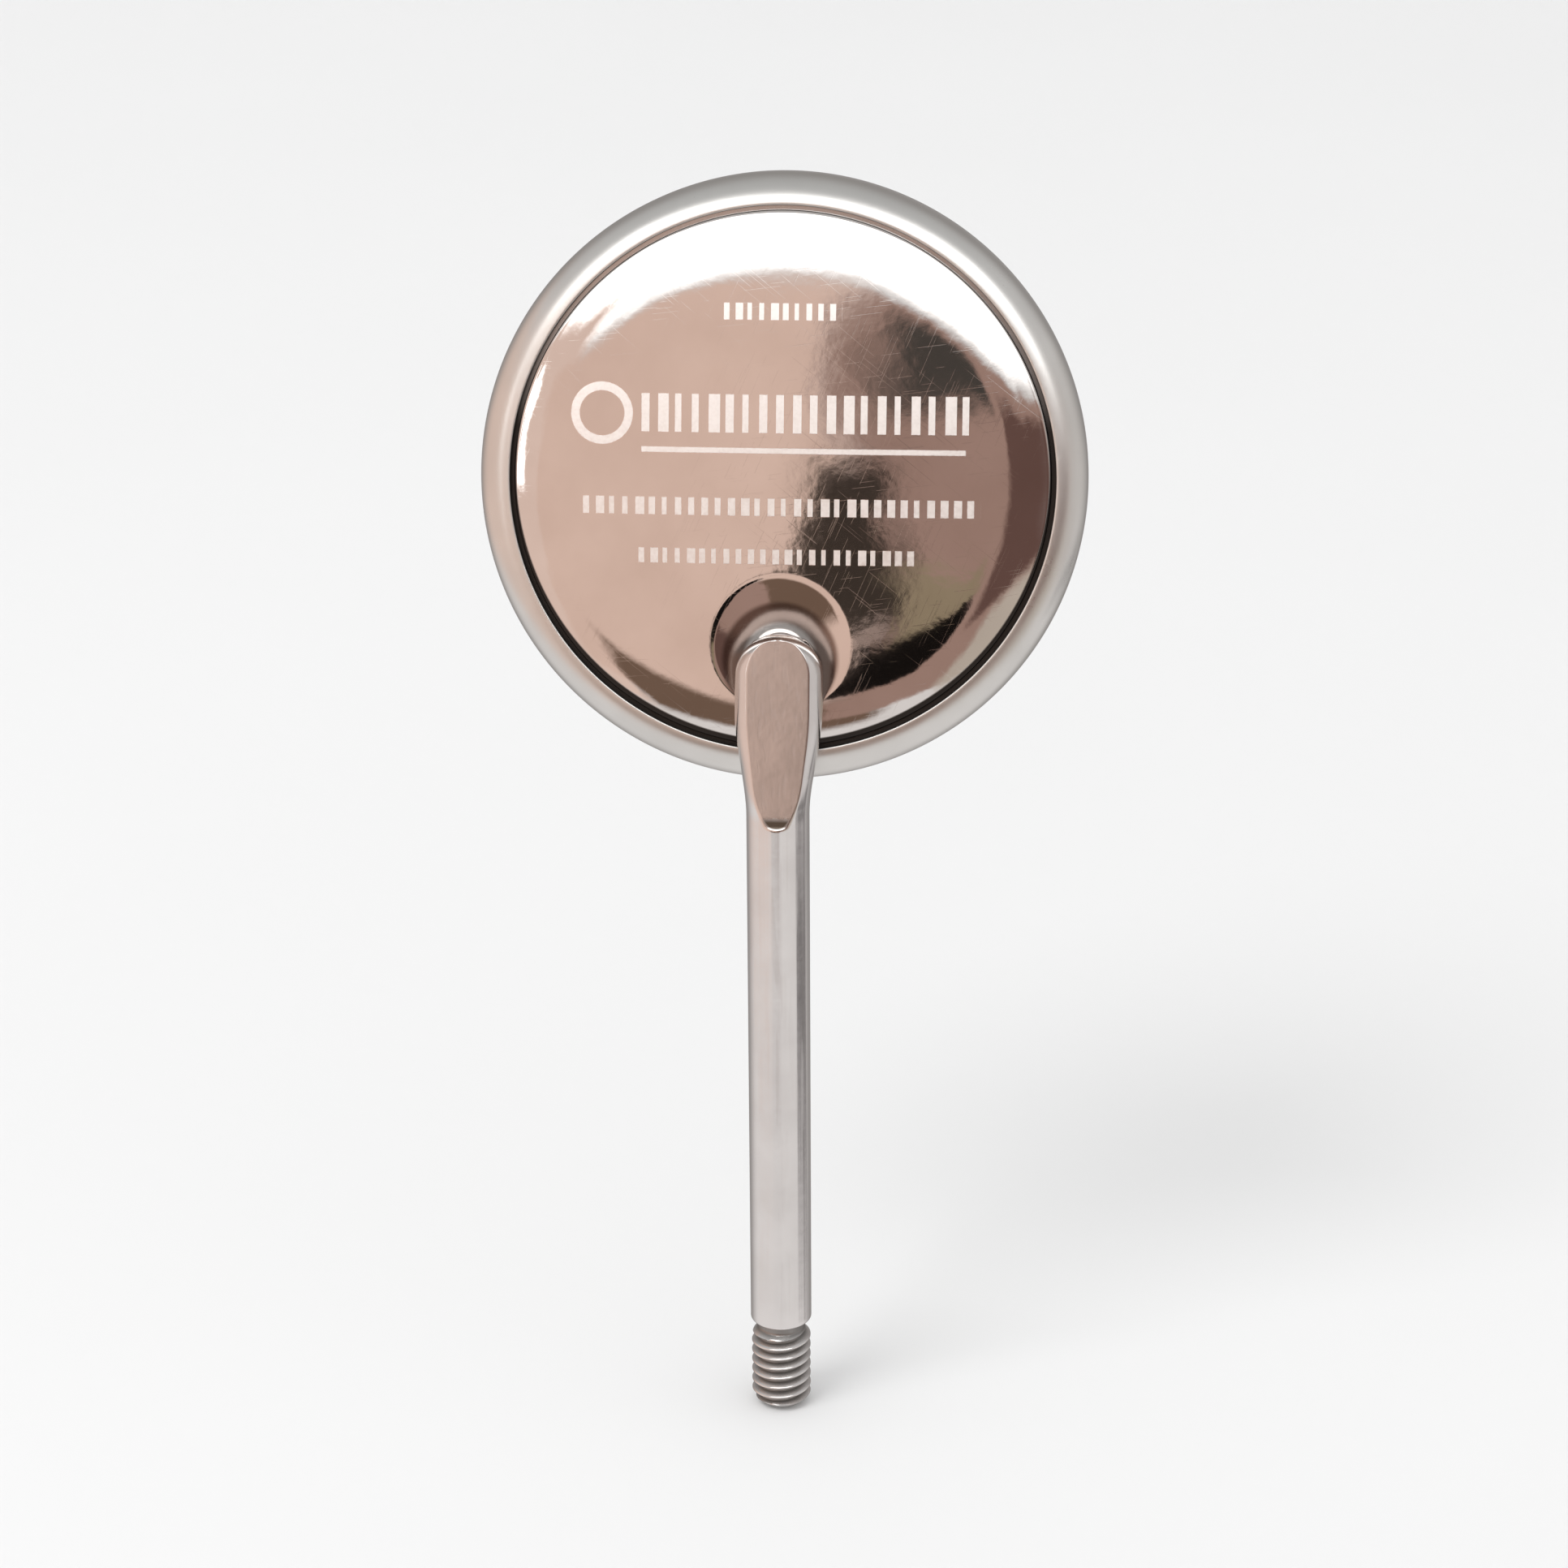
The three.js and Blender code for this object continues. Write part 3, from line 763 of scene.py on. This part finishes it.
def studio_floor():
    """A pale floor that curves up into a pale wall behind the object; its sizes are in metres."""
    wall, bend, height, front, half_width = 0.45, 0.15, 0.6, -3.0, 1.6
    profile = [(front, 0.0)]
    for a in np.radians(np.linspace(0, 90, 19)):
        profile.append((wall - bend + bend * math.sin(a), bend * (1 - math.cos(a))))
    profile.append((wall, height))
    verts = [(side * half_width, y, z - FLOOR_DROP) for y, z in profile for side in (-1, 1)]
    faces = [(2 * i, 2 * i + 1, 2 * i + 3, 2 * i + 2) for i in range(len(profile) - 1)]
    floor = make_piece("studio_floor", verts, faces, 180)
    f = Finish("pale_floor")
    f.drive("Base Color", f.mix(f.noise(0.02, 2.0), (0.80, 0.80, 0.80), (0.78, 0.78, 0.78)))
    f.drive("Roughness", 0.9)
    f.drive("Specular IOR Level", 0.0)
    floor.data.materials.append(f.material)
    floor.visible_glossy = False


FLOOR_DROP = 0.0001  # metres

# The room that the steel reflects. Azimuth 0 is towards -Y and grows towards +X; degrees.
# Each panel: azimuth from and to, elevation from and to, softness, colour.
ROOM_PANELS = [
    (-45, 42, 20.5, 46, 6, (3.2, 3.2, 3.2)),
    (-150, -22, -24, 26, 4, (1.00, 0.77, 0.67)),
    (-30, 0.5, -18, 18.5, 3, (0.95, 0.70, 0.59)),
    (-22, 8, -23, -8, 4, (0.22, 0.14, 0.10)),
    (0, 75, -18, 17.5, 2, (0.46, 0.30, 0.25)),
    (-2.0, 1.6, 1.5, 9.5, 1.4, (0.06, 0.045, 0.036)),
    (1.2, 10, 0.5, 4.2, 1.4, (0.38, 0.30, 0.20)),
    (-0.5, 9, -7, 1, 1.0, (0.01, 0.008, 0.007)),
    (1.5, 9, 11.5, 16, 2, (0.08, 0.07, 0.062)),
    (13, 40, -5, 14, 3, (0.17, 0.095, 0.08)),
    (18, 60, -20, -6, 4, (0.66, 0.58, 0.50)),
    (-42.5, -38.5, 4, 20, 1.5, (3.2, 3.2, 3.2)),
    (45, 125, -18, 17.5, 30, (0.80, 0.76, 0.74)),
    (72, 122, -28.5, -22.5, 3, (0.18, 0.165, 0.165)),
    (120, 240, -60, 60, 60, (0.38, 0.36, 0.35)),
    (-240, -120, -60, 60, 60, (0.38, 0.36, 0.35)),
]
ROOM_CEILING = (0.64, 0.64, 0.64)
ROOM_BELOW = (0.98, 0.95, 0.94)
ROOM_LOW, ROOM_HIGH = -10, 60  # elevations between which the one turns into the other
ROOM_WOBBLE = 3.0
PALE_SKY = (0.77, 0.77, 0.77)
SOFT_LIGHT = (1.0, 1.0, 1.0)


def studio_world():
    """Even soft light on everything, and soft panels of a room in the reflections alone."""
    world = bpy.data.worlds.new("studio")
    bpy.context.scene.world = world
    world.use_nodes = True
    n = Nodes(world.node_tree)
    direction = n.add("TexCoord").outputs["Generated"]
    x, y, z = n.add("SeparateXYZ", {0: direction}).outputs
    wobble = n.add("TexNoise", {"Vector": direction, "Scale": 7.0, "Detail": 3.0}).outputs["Fac"]
    wobble = n.spread(wobble, 0.25, 0.75, -ROOM_WOBBLE / 2, ROOM_WOBBLE / 2)
    azimuth = n.math("DEGREES", n.math("ARCTAN2", x, n.math("MULTIPLY", y, -1.0)))
    elevation = n.math("DEGREES", n.math("ARCSINE", z))
    azimuth = n.math("ADD", azimuth, n.math("MULTIPLY", wobble, 1.5))
    elevation = n.math("ADD", elevation, wobble)
    height = n.spread(elevation, ROOM_LOW, ROOM_HIGH, 0.0, 1.0)
    room = n.mix(height, ROOM_BELOW, ROOM_CEILING)
    for left, right, low, high, soft, colour in ROOM_PANELS:
        across = n.within(azimuth, left, right, soft)
        mask = n.math("MULTIPLY", across, n.within(elevation, low, high, soft))
        room = n.mix(mask, room, colour)
    ray = n.add("LightPath").outputs
    plain = n.mix(ray["Is Camera Ray"], SOFT_LIGHT, PALE_SKY)
    n.feed(n.tree.nodes["Background"].inputs["Color"], n.mix(ray["Is Glossy Ray"], plain, room))


# The key light, in metres and watts
KEY_SIZE = 0.35
KEY_ENERGY = 1.6
KEY_PLACE = (-0.30, -0.30, 0.60)


def key_light():
    """One large soft light above and to the left of the camera."""
    data = bpy.data.lights.new("key", "AREA")
    data.shape = "DISK"
    data.size = KEY_SIZE
    data.energy = KEY_ENERGY
    light = bpy.data.objects.new("key", data)
    light.location = KEY_PLACE
    light.rotation_euler = (-light.location).to_track_quat("-Z", "Y").to_euler()
    light.visible_glossy = False
    bpy.context.scene.collection.objects.link(light)


CAMERA_AIM = Vector((0, 4.05, 26.0)) * MM
CAMERA_AZIMUTH = 3.50
CAMERA_ELEVATION = 23.2
CAMERA_DISTANCE = 193 * MM
CAMERA_ROLL = -0.34
CAMERA_LENS = 110


def studio_camera():
    """Looks at the middle of the mirror from behind the head, a little above it."""
    data = bpy.data.cameras.new("camera")
    data.lens = CAMERA_LENS
    data.clip_start = MM
    camera = bpy.data.objects.new("camera", data)
    a, e = math.radians(CAMERA_AZIMUTH), math.radians(CAMERA_ELEVATION)
    back = Vector((math.sin(a) * math.cos(e), -math.cos(a) * math.cos(e), math.sin(e)))
    roll = Matrix.Rotation(math.radians(CAMERA_ROLL), 3, "Z")
    turn = (-back).to_track_quat("-Z", "Y").to_matrix() @ roll
    camera.matrix_world = Matrix.Translation(CAMERA_AIM + back * CAMERA_DISTANCE) @ turn.to_4x4()
    bpy.context.scene.collection.objects.link(camera)
    bpy.context.scene.camera = camera


studio_floor()
studio_world()
key_light()
studio_camera()
bpy.context.scene.view_settings.view_transform = "Standard"
